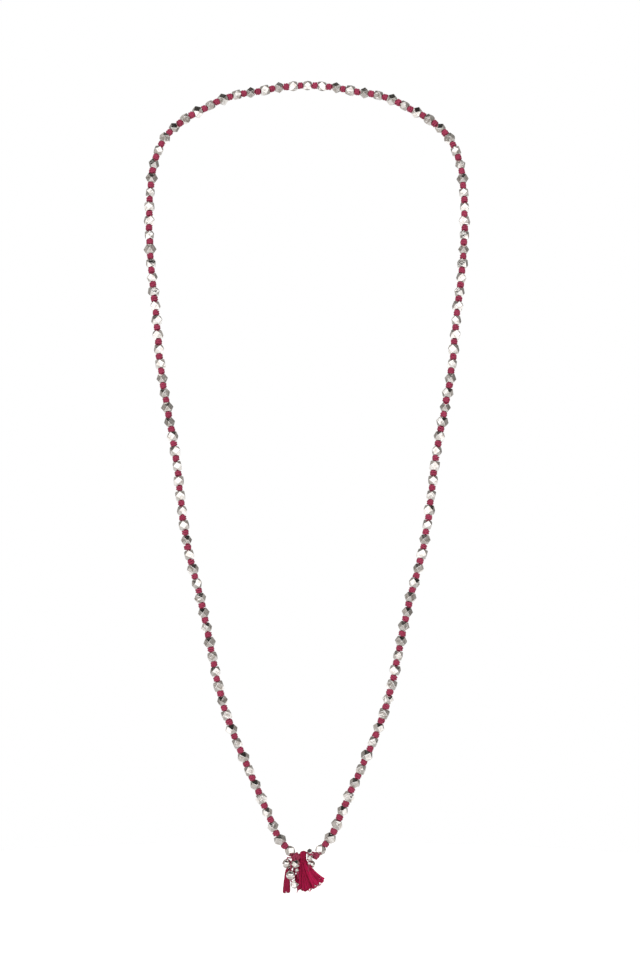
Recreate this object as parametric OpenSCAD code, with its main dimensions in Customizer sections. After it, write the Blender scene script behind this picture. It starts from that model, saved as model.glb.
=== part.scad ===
// A long necklace of silver nuggets knotted on a magenta thread, with two tassels and small drops.
// Millimetres. The view from the front has +X to the right, -Y towards the viewer and +Z up.
// The origin is the point under the top bead where the necklace lies on the nape.

/* [Beads of the string] */
// Beads on each side of the one at the nape
beads_per_side = 61; // [58:1:61]
// Edges of the cubes that the beads are cut from, smallest first
bead_cubes = [4.15, 4.3, 4.5, 4.65];
// Half the length of a bead along the thread
bead_half = 2.32; // [2.2:0.01:2.32]
// Share of the cube's edge that a corner cut takes at each end
corner_cut = 0.56; // [0.5:0.01:0.58]
// Radius of the hole from face to face
bead_bore_r = 0.62; // [0.6:0.01:0.64]

/* [Thread and knots] */
// Radius of the thread
thread_r = 0.5; // [0.35:0.01:0.5]
// Length of a knot along the thread
knot_len = 2.5; // [1.8:0.1:2.5]
// Radius of a knot at its middle
knot_r = 1.65; // [1.2:0.05:1.7]
// Radius of a knot where it meets the beads
knot_end_r = 0.9; // [0.7:0.05:0.95]
// Length, radius, end radius and place past the end of the thread of the fat knot on the left
fat_knot = [2.9, 2.3, 1.4, 0.3];
// How far a knot strays from the even curve
knot_sway = 0.25; // [0:0.05:0.25]
// How far the knots halfway down are moved on, as a share of the thread
knot_drift = 0.006; // [0:0.001:0.006]

/* [Drops] */
// Radius of the thin threads that carry the drops
drop_thread_r = 0.35; // [0.25:0.01:0.36]
// Radius of the holes in the beads of the drops
drop_bore_r = 0.5; // [0.48:0.01:0.52]
// Radius of the two balls on the left
ball_r = 2.38; // [2.1:0.01:2.38]
// Radius of the ball on the right
ball_right_r = 2; // [1.8:0.05:2.05]
// Radius of the tiny round beads
pip_r = 1; // [0.8:0.05:1]

/* [Main tassel] */
// Length of the skirt below the binding
skirt_len = 15.2; // [12:0.1:15.5]
// Lean of the skirt's straight side, from straight down
fan_from = -6; // [-8:1:-2]
// Lean of the skirt's flared side, from straight down
fan_to = 45; // [30:1:46]
// Radius of a lock of threads at its foot
lock_r = 1.05; // [0.9:0.05:1.1]

/* [Side tassel] */
// Length of the slim tassel's skirt
side_len = 11.1; // [8:0.1:11.5]
// Half the width of the slim tassel at its foot
side_half_w = 2; // [1.6:0.1:2]

/* [Hidden] */

silver = [0.80, 0.79, 0.77];
knot_pink = [0.70, 0.16, 0.35];
tassel_red = [0.60, 0.06, 0.25];

// Route of one side of the string as it hangs.
// Columns: out from the middle, forward of the nape, height.
route_table = [
    [0, 0, 2.9],
    [12, 0.5, 2.3],
    [27, 2, -0.9],
    [41, 4.5, -3.8],
    [53.5, 7.5, -10.5],
    [66.5, 11, -18.7],
    [75.8, 14, -29.5],
    [80.3, 17, -44],
    [81.6, 19.5, -59],
    [81.7, 23, -75.5],
    [80, 28, -98],
    [77, 33.5, -121],
    [74, 39, -150],
    [69.5, 43, -174],
    [65.3, 46, -197],
    [62.5, 48.5, -220],
    [59, 50.5, -241.5],
    [53.5, 52, -262],
    [48.5, 53.3, -284],
    [44, 54.2, -306.5],
    [38, 54.7, -327.5],
    [29.3, 55, -348],
    [20.3, 55, -368.5],
    [13.7, 55, -384.3],
    [9.6, 55, -390]
];
// Last knot of each side, in the same columns
left_end = [4.4, 55, -394.4];
right_end = [5.6, 55, -394];
route_steps = 8;

// Small space between solids that meet end to end
seam = 0.1;
// How far a length of thread stops short of the middle of its knots
inset = 0.3;
knot_chamfer = 0.5;
// Turns from knot to knot that scatter them to the sides and up and down
sway_turns = [197, 143];
// The turn of each bead on the thread goes on by this much
bead_turn = 47;
// Turns that scatter the sizes of the beads along the left and the right side
size_turns = [133, 127];
size_from = 200;

// Beads of the drops: the middle of each, and a point further on along its hole
cross_at = [2.6, -55, -392.6];
cross_to = [4, -55, -392.52];
upper_at = [-8.65, -54.8, -398.25];
upper_to = [-8.6, -54.8, -400.65];
lower_at = [-6.65, -58.6, -403.1];
lower_to = [-6.65, -58.6, -405.2];
right_at = [3.4, -51.8, -399.1];
right_to = [3.4, -51.8, -400.8];
nugget_left_at = [-4.4, -58.9, -397.4];
nugget_left_to = [-4.05, -59.05, -399];
nugget_right_at = [2.75, -58.3, -394.6];
nugget_right_to = [2.65, -58.3, -395.7];
low_left_at = [-4.75, -60.1, -407.3];
low_left_to = [-3.6, -60.5, -408.25];
low_right_at = [3.4, -51.8, -402.6];
low_right_to = [3.4, -51.8, -403.8];
pip_left_at = [-3.65, -59.2, -400.4];
pip_left_to = [-3.4, -59.3, -401.3];
pip_right_at = [2.5, -58.3, -397.1];
pip_right_to = [2.35, -58.3, -398];

// Lean of a cube's corner from straight up
corner_lean = atan(sqrt(2));
// Cube edges of the smaller nuggets, and half the length of the flatter one across the foot
cross_cube = 3;
cross_half = 1.15;
nugget_left_cube = 3.4;
nugget_right_cube = 2.6;
low_left_cube = 3.4;
low_right_cube = 2.6;

// End knots of the drops: radius and half length, and where each one lies
end_knot_r = 0.62;
end_knot_half = 0.45;
low_left_knot = past(low_left_at, low_left_to, low_left_cube / 2);
low_right_knot = past(low_right_at, low_right_to, low_right_cube / 2);
pip_left_knot = past(pip_left_at, pip_left_to, pip_r);
pip_right_knot = past(pip_right_at, pip_right_to, pip_r);

// Where the skirts of the tassels start, and the loop of the main one over the thread
skirt_top = [-0.7, -55.2, -396.5];
head_top = [-0.6, -55, -393.2];
head_r = 1.42;
neck_up = [0, 0, 0.8];
binding_r = 1.62;
binding_len = 1.1;
// Ends of the hole that the thread across passes through, beyond the points of its route
hole_over = [0.4, 0, 0.1];

// Locks of the main skirt: how many in front and behind, and how far each row leans
front_locks = 7;
back_locks = 6;
row_lean = 4;
// How far the rows stop short of each other at the two sides
row_steps = [3, 5];
// Joints of a lock as shares of its length, and its thickness there as a share of lock_r
lock_joints = [0, 0.35, 0.7, 1];
lock_sizes = [0.75, 0.85, 1, 1];
// Width of a row at the binding, how much shorter its last lock is, and how its locks bend
row_w = 2;
flare_loss = 0.05;
bend_out = 0.25;
bend_down = 0.08;

// The slim tassel: its head, its neck and the locks round it
side_top = [-8.45, -54.8, -401.7];
side_head_r = 0.95;
side_neck_r = 1.1;
side_neck_len = 1;
side_locks = 6;
side_joints = [0, 0.5, 1];
side_sizes = [0.75, 0.9, 1];
side_root_r = [0.4, 0.35];
side_flatness = 0.8;
side_foot_shift = -0.4;
side_hole_depth = 0.35;

// Routes of the threads at the foot of the necklace, from an end knot on
left_knot = at_front(left_end, -1);
right_knot = at_front(right_end, 1);
cross_route = [left_knot, [-2.6, -55, -393.7], [-0.6, -55, -393.25], [0.9, -55, -392.73],
    [1.6, -55, -392.66], cross_at, cross_to, [4.75, -55, -392.8], right_knot];
upper_route = [left_knot, [-6.3, -54.6, -395.35], [-7.6, -54.8, -395.3], [-8.4, -54.8, -395.3],
    [-8.7, -54.8, -395.9], upper_at, upper_to, side_top];
lower_route = [left_knot, [-5.9, -56.2, -395.9], [-6.6, -57.6, -398], [-6.65, -58.4, -400.1],
    [-6.65, -58.6, -401.4], lower_at, lower_to, [-6.6, -58.95, -405.9],
    [-6.17, -59.6, -406.13], low_left_at, low_left_to, low_left_knot];
left_route = [left_knot, [-4.9, -57, -394.4], [-4.95, -58.3, -394.9], [-4.75, -58.75, -395.8],
    nugget_left_at, nugget_left_to, pip_left_at, pip_left_to, pip_left_knot];
right_route = [right_knot, [5.2, -56.9, -393.9], [4.3, -58, -393.2], [3.35, -58.3, -392.6],
    [2.88, -58.3, -393.1], nugget_right_at, nugget_right_to, pip_right_at, pip_right_to, pip_right_knot];
ball_right_route = [right_knot, [5.4, -53.6, -394.7], [4.5, -52.3, -395.4], [3.7, -51.9, -396],
    [3.4, -51.8, -396.9], right_at, right_to, low_right_at, low_right_to, low_right_knot];
strand_steps = 3;
strand_sides = 8;

function at_front(row, side) = [side * row[0], -row[1], row[2]];
function flip(p) = [-p.x, p.y, p.z];
function unit(v) = v / norm(v);
function last(list) = list[len(list) - 1];

// The middle of the end knot past a bead
function past(at, to, half) = at + (half + seam + end_knot_half) * unit(to - at);

// A smooth curve through points, where before is the point that leads into the first
function between(a, b, c, d, t) =
    0.5 * (2 * b + (c - a) * t + (2 * a - 5 * b + 4 * c - d) * t * t + (3 * b - 3 * c + d - a) * t * t * t);
function smooth(points, before, steps) =
    let (after = 2 * last(points) - points[len(points) - 2])
    let (all = concat([before], points, [after]))
    concat(
        [for (i = [1 : len(points) - 1], j = [0 : steps - 1])
            between(all[i - 1], all[i], all[i + 1], all[i + 2], j / steps)],
        [last(points)]);

// Length along a line of points, up to each of them
function lengths(line) =
    [for (i = 0, s = 0; i < len(line); i = i + 1,
        s = s + (i < len(line) ? norm(line[i] - line[i - 1]) : 0)) s];
function point_at(line, sums, s) =
    [for (axis = [0 : 2]) lookup(s, [for (i = [0 : len(line) - 1]) [sums[i], line[i][axis]]])];

// Knots of one side, at equal lengths along the thread, each a little off the even curve
function knots_of(end) =
    let (rows = [for (row = concat(route_table, [end])) at_front(row, 1)])
    let (line = smooth(rows, flip(rows[1]), route_steps))
    let (sums = lengths(line))
    let (pitch = last(sums) / (beads_per_side + 0.5))
    [for (k = [0 : beads_per_side])
        let (share = (k + 0.5) / (beads_per_side + 0.5))
        let (s = last(sums) * (share + knot_drift * pow(sin(180 * share), 2)))
        let (ahead = unit(point_at(line, sums, s) - point_at(line, sums, s - pitch / 2)))
        let (out = unit(cross(ahead, [0, 1, 0])))
        let (sway = k == beads_per_side ? 0 : knot_sway)
        let (aside = sin(sway_turns[0] * k) * out + cos(sway_turns[1] * k) * cross(ahead, out))
        point_at(line, sums, s) + sway * aside];
right_knots = knots_of(right_end);
left_knots = [for (p = knots_of(left_end)) flip(p)];

// Rings of a swept thread: the side direction is carried on from ring to ring
function aims(line) = [for (i = [0 : len(line) - 1])
    unit(line[min(i + 1, len(line) - 1)] - line[max(i - 1, 0)])];
function carried(aim, side, i) =
    i == len(aim) ? [] :
    let (next = unit(side - (side * aim[i]) * aim[i]))
    concat([next], carried(aim, next, i + 1));

module along(from, to) {
    way = to - from;
    translate(from) rotate([0, acos(way.z / norm(way)), atan2(way.y, way.x)]) children();
}

// A cube with its eight corners cut off, drilled from face to face
module nugget(edge, half, bore_r) {
    slab = [2 * edge, 2 * edge, 2 * (1.5 - corner_cut) * edge / sqrt(3)];
    difference() {
        intersection() {
            cube([edge, edge, 2 * half], center = true);
            rotate([0, corner_lean, 45]) cube(slab, center = true);
            rotate([0, corner_lean, 135]) cube(slab, center = true);
            rotate([0, corner_lean, 225]) cube(slab, center = true);
            rotate([0, corner_lean, 315]) cube(slab, center = true);
        }
        cylinder(h = 2 * edge, r = bore_r, center = true, $fn = 32);
    }
}

module small_nugget(edge) {
    nugget(edge, edge / 2, drop_bore_r);
}

module drilled_ball(r) {
    difference() {
        sphere(r, $fn = 64);
        cylinder(h = 3 * r, r = drop_bore_r, center = true, $fn = 32);
    }
}

module barrel(half, r, end_r, chamfer) {
    rotate_extrude($fn = 32) polygon([[0, -half], [end_r, -half], [r, -half + chamfer],
        [r, half - chamfer], [end_r, half], [0, half]]);
}

module beads_of(knots, side) {
    size_turn = side < 0 ? size_turns[0] : size_turns[1];
    for (k = [0 : len(knots) - 2]) {
        pick = floor(2 + 1.99 * sin(size_from + size_turn * k));
        along((knots[k] + knots[k + 1]) / 2, knots[k + 1])
            rotate([0, 0, side * bead_turn * k]) nugget(bead_cubes[pick], bead_half, bead_bore_r);
    }
}

module knot(at, to) {
    along(at, to) barrel(knot_len / 2, knot_r, knot_end_r, knot_chamfer);
}

// One half of the thread, from the seam inside the nape bead to the last knot but one
module thread_of(knots) {
    count = len(knots) - 1;
    side = sign(knots[0].x);
    before = concat([[side * seam / 2, knots[0].y, knots[0].z]], knots);
    for (k = [0 : count]) {
        start = k == 0 ? 0 : inset;
        stop = k == count ? knot_len / 2 + seam : inset;
        along(before[k], before[k + 1]) translate([0, 0, start])
            cylinder(h = norm(before[k + 1] - before[k]) - start - stop, r = thread_r, $fn = 32);
    }
    for (k = [0 : count - 1])
        knot(knots[k], knots[k] + knots[k + 1] - before[k]);
}

module strand(points, r) {
    line = smooth(points, 2 * points[0] - points[1], strand_steps);
    aim = aims(line);
    side = carried(aim, [0.6, 0.2, 0.8], 0);
    rings = [for (i = [0 : len(line) - 1], a = [0 : strand_sides - 1])
        let (turn = 360 * a / strand_sides)
        line[i] + r * (cos(turn) * side[i] + sin(turn) * cross(aim[i], side[i]))];
    top = len(line) - 1;
    walls = [for (i = [0 : top - 1], a = [0 : strand_sides - 1])
        let (b = (a + 1) % strand_sides)
        [i * strand_sides + a, (i + 1) * strand_sides + a, (i + 1) * strand_sides + b, i * strand_sides + b]];
    polyhedron(rings, concat(walls,
        [[for (a = [0 : strand_sides - 1]) a]],
        [[for (a = [strand_sides - 1 : -1 : 0]) top * strand_sides + a]]));
}

module end_knot(at, from) {
    along(at, 2 * at - from) barrel(end_knot_half, end_knot_r, 0.8 * end_knot_r, 0.3 * end_knot_half);
}

module bead_nape() {
    color(silver) along([0, right_knots[0].y, right_knots[0].z], right_knots[0])
        rotate([0, 0, 90]) nugget(bead_cubes[0], bead_half, bead_bore_r);
}
module beads_left() {
    color(silver) beads_of(left_knots, -1);
}
module beads_right() {
    color(silver) beads_of(right_knots, 1);
}
module thread_left() {
    color(knot_pink) thread_of(left_knots);
}
module thread_right() {
    color(knot_pink) thread_of(right_knots);
}

// The thread across the foot, its two end knots and the five threads of the drops
module drop_threads() {
    color(knot_pink) {
        along(left_knot, 2 * left_knot - left_knots[beads_per_side - 1])
            translate([0, 0, fat_knot[3]])
                barrel(fat_knot[0] / 2, fat_knot[1], fat_knot[2], fat_knot[1] - fat_knot[2]);
        knot(right_knot, right_knots[beads_per_side - 1]);
        strand(cross_route, thread_r);
        strand(upper_route, drop_thread_r);
        strand(lower_route, drop_thread_r);
        strand(left_route, drop_thread_r);
        strand(right_route, drop_thread_r);
        strand(ball_right_route, drop_thread_r);
        end_knot(low_left_knot, low_left_at);
        end_knot(low_right_knot, low_right_at);
        end_knot(pip_left_knot, pip_left_at);
        end_knot(pip_right_knot, pip_right_at);
    }
}

// A lock of threads: balls along a bent line, each joined to the next
module lock(points, radii) {
    for (i = [0 : len(points) - 2])
        hull() {
            translate(points[i]) sphere(radii[i], $fn = 8);
            translate(points[i + 1]) sphere(radii[i + 1], $fn = 8);
        }
}

// A row of locks that fans from the binding, the last ones bent outwards
module fan(count, from, to, lean) {
    for (i = [0 : count - 1]) {
        share = i / (count - 1);
        angle = from + share * (to - from);
        reach = (skirt_len - lock_r) * (1 - flare_loss * (angle - fan_from) / (fan_to - fan_from));
        lock([for (u = lock_joints) skirt_top + [
                (share - 0.5) * (1 - u) * row_w + reach * sin(angle) * u * (1 - bend_out * (1 - u)),
                reach * sin(lean) * u,
                -reach * cos(angle) * u * (1 + bend_down * (1 - u))]],
            lock_r * lock_sizes);
    }
}

module tassel_main() {
    hole_from = cross_route[1] - hole_over;
    hole_to = cross_route[3] + hole_over;
    color(tassel_red) difference() {
        union() {
            hull() {
                translate(head_top) sphere(head_r, $fn = 20);
                translate(skirt_top + neck_up) sphere(head_r, $fn = 20);
            }
            translate(skirt_top) cylinder(h = binding_len, r = binding_r, center = true, $fn = 20);
            fan(front_locks, fan_from, fan_to, -row_lean);
            fan(back_locks, fan_from + row_steps[0], fan_to - row_steps[1], row_lean);
        }
        along(hole_from, hole_to) cylinder(h = norm(hole_to - hole_from), r = 1.5 * thread_r, $fn = 12);
    }
}

module tassel_side() {
    lock_foot = 0.4 * side_half_w;
    ring = (side_half_w - lock_foot) * [1, side_flatness];
    fall = side_len - side_neck_len - lock_foot;
    color(tassel_red) difference() {
        union() {
            hull() {
                translate(side_top) sphere(side_head_r, $fn = 12);
                translate(side_top - [0, 0, side_neck_len]) sphere(side_neck_r, $fn = 12);
            }
            for (i = [0 : side_locks - 1]) {
                turn = 360 * i / side_locks;
                lock([for (u = side_joints)
                    let (reach = side_root_r + (ring - side_root_r) * u)
                    side_top + [reach[0] * cos(turn) + side_foot_shift * u, reach[1] * sin(turn),
                        -side_neck_len - fall * u]],
                    lock_foot * side_sizes);
            }
        }
        translate(side_top - [0, 0, side_hole_depth])
            cylinder(h = 2 * side_head_r, r = 1.2 * drop_bore_r, $fn = 12);
    }
}

module ball_upper() {
    color(silver) along(upper_at, upper_to) drilled_ball(ball_r);
}
module ball_lower() {
    color(silver) along(lower_at, lower_to) drilled_ball(ball_r);
}
module ball_right() {
    color(silver) along(right_at, right_to) drilled_ball(ball_right_r);
}
module nugget_cross() {
    color(silver) along(cross_at, cross_to)
        rotate([0, 0, 45]) nugget(cross_cube, cross_half, bead_bore_r);
}
module nugget_left() {
    color(silver) along(nugget_left_at, nugget_left_to) small_nugget(nugget_left_cube);
}
module nugget_right() {
    color(silver) along(nugget_right_at, nugget_right_to) small_nugget(nugget_right_cube);
}
module nugget_low_left() {
    color(silver) along(low_left_at, low_left_to) small_nugget(low_left_cube);
}
module nugget_low_right() {
    color(silver) along(low_right_at, low_right_to) small_nugget(low_right_cube);
}
module pip_left() {
    color(silver) along(pip_left_at, pip_left_to) drilled_ball(pip_r);
}
module pip_right() {
    color(silver) along(pip_right_at, pip_right_to) drilled_ball(pip_r);
}

bead_nape();
beads_left();
beads_right();
thread_left();
thread_right();
drop_threads();
tassel_main();
tassel_side();
ball_upper();
ball_lower();
ball_right();
nugget_cross();
nugget_left();
nugget_right();
nugget_low_left();
nugget_low_right();
pip_left();
pip_right();
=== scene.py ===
# %% [markdown]
# This lesson dresses a long necklace: silver nuggets knotted on a magenta thread, with two thread
# tassels and a few small silver drops at its foot. The measured model gives every bead its place, so
# the script reads places from that model and builds each detailed piece right where they say.

# %% Load the measured model
import itertools
import math
from dataclasses import dataclass

import bmesh
import bpy
import numpy as np
from mathutils import Matrix, Vector


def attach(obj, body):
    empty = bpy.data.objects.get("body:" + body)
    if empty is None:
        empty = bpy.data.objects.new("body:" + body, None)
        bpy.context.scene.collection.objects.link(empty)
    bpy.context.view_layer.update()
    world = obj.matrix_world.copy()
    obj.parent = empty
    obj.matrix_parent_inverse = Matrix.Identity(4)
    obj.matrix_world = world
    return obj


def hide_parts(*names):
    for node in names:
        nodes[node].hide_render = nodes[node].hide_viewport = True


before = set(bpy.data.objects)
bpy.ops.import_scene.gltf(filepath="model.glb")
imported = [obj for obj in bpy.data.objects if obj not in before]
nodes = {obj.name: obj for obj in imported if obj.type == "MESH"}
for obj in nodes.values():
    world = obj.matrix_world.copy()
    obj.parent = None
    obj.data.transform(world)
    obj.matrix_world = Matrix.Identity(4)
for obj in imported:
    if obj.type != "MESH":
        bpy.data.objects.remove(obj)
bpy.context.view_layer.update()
MM = 0.001
rng = np.random.default_rng(11)

# %% [markdown]
# The photograph looks straight at the necklace from about 90 cm in front of it. The lens is long
# enough that one millimetre at the foot of the necklace covers two pixels of a frame 960 pixels high.
# The picture leans by a fifth of a degree, so the camera rolls by that much.

# %% Camera
SENSOR = 36.0
FOCAL_PIXELS = 1800
FRAME_HEIGHT = 960
camera_data = bpy.data.cameras.new("camera")
camera_data.sensor_width = SENSOR
camera_data.lens = SENSOR * FOCAL_PIXELS / FRAME_HEIGHT
camera_data.clip_start = 0.01
camera = bpy.data.objects.new("camera", camera_data)
camera.location = (0.0072, -0.955, -0.2063)
camera.rotation_euler = (math.radians(90), math.radians(-0.18), 0)
bpy.context.scene.collection.objects.link(camera)
bpy.context.scene.camera = camera
print("lens:", camera_data.lens, "mm")

# %% [markdown]
# Shader sums are easier to read as Python than as boxes and wires. This class wraps one output of a
# node, and its operators add Math nodes. The second class holds a material's or world's node tree and
# adds any other node.

# %% Shader arithmetic
class Wire:
    """One output of a shader node, used in sums as a number is."""

    def __init__(self, shader, socket):
        self.shader = shader
        self.socket = socket

    def math(self, operation, first, second):
        return self.shader.node("ShaderNodeMath", {"operation": operation}, {0: first, 1: second})

    def __add__(self, other):
        return self.math("ADD", self, other)

    def __rsub__(self, other):
        return self.math("SUBTRACT", other, self)

    def __mul__(self, other):
        return self.math("MULTIPLY", self, other)


class Shader:
    """The node tree of a material or of the world."""

    def __init__(self, owner):
        owner.use_nodes = True
        self.tree = owner.node_tree
        self.tree.nodes.clear()

    def node(self, kind, settings=None, inputs=None, out=0):
        """Adds a node: first its settings, then the values or wires of its sockets."""
        made = self.tree.nodes.new(kind)
        for name, value in (settings or {}).items():
            if name == "stops":
                self.set_ramp(made.color_ramp, value)
            else:
                setattr(made, name, value)
        for key, value in (inputs or {}).items():
            if isinstance(value, Wire):
                self.tree.links.new(value.socket, made.inputs[key])
            else:
                made.inputs[key].default_value = value
        return Wire(self, made.outputs[out]) if len(made.outputs) else None

    def set_ramp(self, ramp, stops):
        while len(ramp.elements) < len(stops):
            ramp.elements.new(1)
        for element, (position, colour) in zip(ramp.elements, stops):
            element.position = position
            element.color = (*colour, 1)

    def blend(self, amount, first, second):
        """The colour between first and second."""
        return self.node("ShaderNodeMix", {"data_type": "RGBA"}, {0: amount, 6: first, 7: second}, 2)

    def noise(self, vector, scale, detail=2.0):
        return self.node("ShaderNodeTexNoise", {}, {"Vector": vector, "Scale": scale, "Detail": detail})


# %% [markdown]
# Polished silver shows its surroundings and little else, so the studio is made for the reflections.
# The world works out a brightness from the direction of each ray. A broad white screen stands in
# front, with a brownish, patchy strip along its lower half. A dark gap runs over it and round the
# sides. The room is a warm grey with paler patches, darkest overhead. Rays from the camera itself see
# plain white.

# %% World
world = bpy.data.worlds.new("studio")
bpy.context.scene.world = world
sky = Shader(world)
ray = sky.node("ShaderNodeTexCoord", out="Generated")
split = sky.node("ShaderNodeSeparateXYZ", {}, {0: ray})
across = Wire(sky, split.socket.node.outputs["X"])
ahead = Wire(sky, split.socket.node.outputs["Y"])
height = Wire(sky, split.socket.node.outputs["Z"])


def soft_step(value, low, high):
    return sky.node("ShaderNodeMapRange", {"interpolation_type": "SMOOTHSTEP"},
                    {"Value": value, "From Min": low, "From Max": high})


def between(value, low, high, edge):
    """1 from low to high, and 0 beyond a soft edge."""
    return soft_step(value, low - edge, low) * (1 - soft_step(value, high, high + edge))


WHITE = (1.36, 1.34, 1.32, 1)
BROWN = (0.30, 0.265, 0.24, 1)
ROOM = (0.37, 0.345, 0.325)
GAP = (0.03, 0.028, 0.026, 1)
# Degrees above the horizon: from, to and the width of the soft edge
STRIP_LIFT = (-40, -1, 6)
GAP_LIFT = (41, 72, 4)
OVERHEAD_LIFT = (55, 70)
# Parts of a ray's direction: ahead is -1 towards the camera, across is -1 to the left
SCREEN_AHEAD = (-0.42, -0.26)
SCREEN_ACROSS = (-0.80, 0.74, 0.08)
GAP_AHEAD = (0.0, 0.25)

patches = soft_step(sky.noise(ray, 4.2, 2.5), 0.44, 0.60)
lift = sky.node("ShaderNodeMath", {"operation": "ARCSINE"}, {0: height}) * (180 / math.pi)
strip = between(lift, *STRIP_LIFT) * (1 - patches * 0.55)
screen = sky.blend(strip, WHITE, BROWN)
overhead = soft_step(lift, *OVERHEAD_LIFT)
wall_shade = patches * 0.9 + 0.55
ceiling_shade = patches * 0.91 + 0.042
shade = (wall_shade * (1 - overhead) + ceiling_shade * overhead) * (1 - across * 0.22)
room = sky.node("ShaderNodeVectorMath", {"operation": "SCALE"}, {0: ROOM, 3: shade})
facing = (1 - soft_step(ahead, *SCREEN_AHEAD)) * between(across, *SCREEN_ACROSS)
gap = between(lift, *GAP_LIFT) * (1 - soft_step(ahead, *GAP_AHEAD))
studio = sky.blend(gap, sky.blend(facing, room, screen), GAP)
seen = sky.node("ShaderNodeLightPath", out="Is Camera Ray")
shown = sky.blend(seen, studio, (1, 1, 1, 1))
lit = sky.node("ShaderNodeBackground", {}, {"Color": shown, "Strength": 1.0})
sky.node("ShaderNodeOutputWorld", {}, {"Surface": lit})
bpy.context.scene.view_settings.view_transform = "Standard"
print("world nodes:", len(sky.tree.nodes))

# %% [markdown]
# Two soft lamps shape the thread: a broad one high on the left, and a weaker one on the right. They
# stay out of the reflections, which the world makes. The floor is a pale round table that glows with a
# painted glow of its own. The glow is weak in front of the necklace, which leaves a soft grey pool of
# painted shade there that gives the silver something to show. It is strong towards the rim, so that the
# floor runs into the white surroundings.

# %% Lamps and floor
def soft_lamp(name, place, target, size, power):
    data = bpy.data.lights.new(name, "AREA")
    data.shape = "DISK"
    data.size = size
    data.energy = power
    lamp = bpy.data.objects.new(name, data)
    lamp.location = place
    lamp.rotation_euler = (Vector(target) - Vector(place)).to_track_quat("-Z", "Y").to_euler()
    lamp.visible_glossy = False
    bpy.context.scene.collection.objects.link(lamp)


MIDDLE = (0, -0.03, -0.2)
soft_lamp("key_lamp", (-0.75, -1.1, 0.55), MIDDLE, size=0.55, power=9)
soft_lamp("fill_lamp", (0.95, -0.9, 0.1), MIDDLE, size=0.5, power=4)

FLOOR_DEPTH = -0.62
FLOOR_R = 1.1
FLOOR_SIDES = 72
PAINTED_SHADE_MIDDLE = (0, -0.15, 0)
# Metres from the middle of the grey pool of painted shade, and the strength of the painted glow there
PAINTED_GLOW_AT = [(0.30, 0.03), (0.80, 0.85)]
floor_turns = 2 * np.pi * np.arange(FLOOR_SIDES) / FLOOR_SIDES
floor_rim = np.stack([np.cos(floor_turns), np.sin(floor_turns), 0 * floor_turns], 1) * FLOOR_R
floor_mesh = bpy.data.meshes.new("floor")
floor_mesh.from_pydata(floor_rim.tolist(), [], [tuple(range(FLOOR_SIDES))])
floor = bpy.data.objects.new("floor", floor_mesh)
floor.location = (0, 0, FLOOR_DEPTH)
bpy.context.scene.collection.objects.link(floor)
floor_look = bpy.data.materials.new("pale_floor")
table = Shader(floor_look)
table_place = table.node("ShaderNodeTexCoord", out="Object")
from_middle = table.node("ShaderNodeVectorMath", {"operation": "DISTANCE"},
                         {0: table_place, 1: PAINTED_SHADE_MIDDLE}, "Value")
painted_glow_stops = [(away / FLOOR_R, (glow, glow, glow)) for away, glow in PAINTED_GLOW_AT]
# The floor's emission is painted glow: weak over the grey pool of painted shade, strong towards the rim
floor_painted_glow = table.node("ShaderNodeValToRGB", {"stops": painted_glow_stops}, {0: from_middle * (1 / FLOOR_R)})
table_surface = table.node("ShaderNodeBsdfPrincipled", {}, {
    "Base Color": (0.82, 0.80, 0.785, 1), "Roughness": 0.6, "Specular IOR Level": 0.1,
    "Emission Color": floor_painted_glow, "Emission Strength": 1.0})
table.node("ShaderNodeOutputMaterial", {}, {"Surface": table_surface})
floor_mesh.materials.append(floor_look)
print("lamps: 2, floor at", FLOOR_DEPTH, "m")

# %% [markdown]
# The silver is plate over cast and tumbled nuggets. It is bright, but no facet is a perfect mirror:
# each has a faint pebbled skin, hair scratches and a breath of warm tarnish. Three layers of noise
# drive the colour, the roughness and a very shallow bump.

# %% Silver
def silver_look(name, polish):
    """Silver plate. polish runs from 0, worn, to 1, mirror bright."""
    look = bpy.data.materials.new(name)
    shader = Shader(look)
    place = shader.node("ShaderNodeTexCoord", out="Object")
    cloud = shader.noise(place, 520.0, 2.0)
    skin = shader.noise(place, 2600.0, 3.0)
    stretched = shader.node("ShaderNodeVectorMath", {"operation": "MULTIPLY"},
                            {0: place, 1: (1.0, 0.7, 0.06)})
    scratch = shader.noise(stretched, 9000.0, 2.0)
    colour = shader.node("ShaderNodeValToRGB", {"stops": [
        (0.3, (0.62, 0.58, 0.53)), (0.5, (0.86, 0.845, 0.82)), (0.75, (0.93, 0.925, 0.91))]}, {0: cloud})
    rough = skin * (0.20 - 0.12 * polish) + scratch * 0.06 + (0.01 + 0.02 * (1 - polish))
    relief = cloud * (3.4 - 3.0 * polish) + skin * (0.4 - 0.3 * polish) + scratch * 0.05
    bump = shader.node("ShaderNodeBump", {}, {"Height": relief, "Strength": 1.0, "Distance": 0.1 * MM})
    surface = shader.node("ShaderNodeBsdfPrincipled", {}, {
        "Base Color": colour, "Metallic": 1.0, "Roughness": rough, "Normal": bump})
    shader.node("ShaderNodeOutputMaterial", {}, {"Surface": surface})
    return look


nugget_silver = silver_look("tumbled_silver", polish=0.55)
ball_silver = silver_look("bright_silver", polish=0.9)
print("silver finishes:", nugget_silver.name, ball_silver.name)
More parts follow.
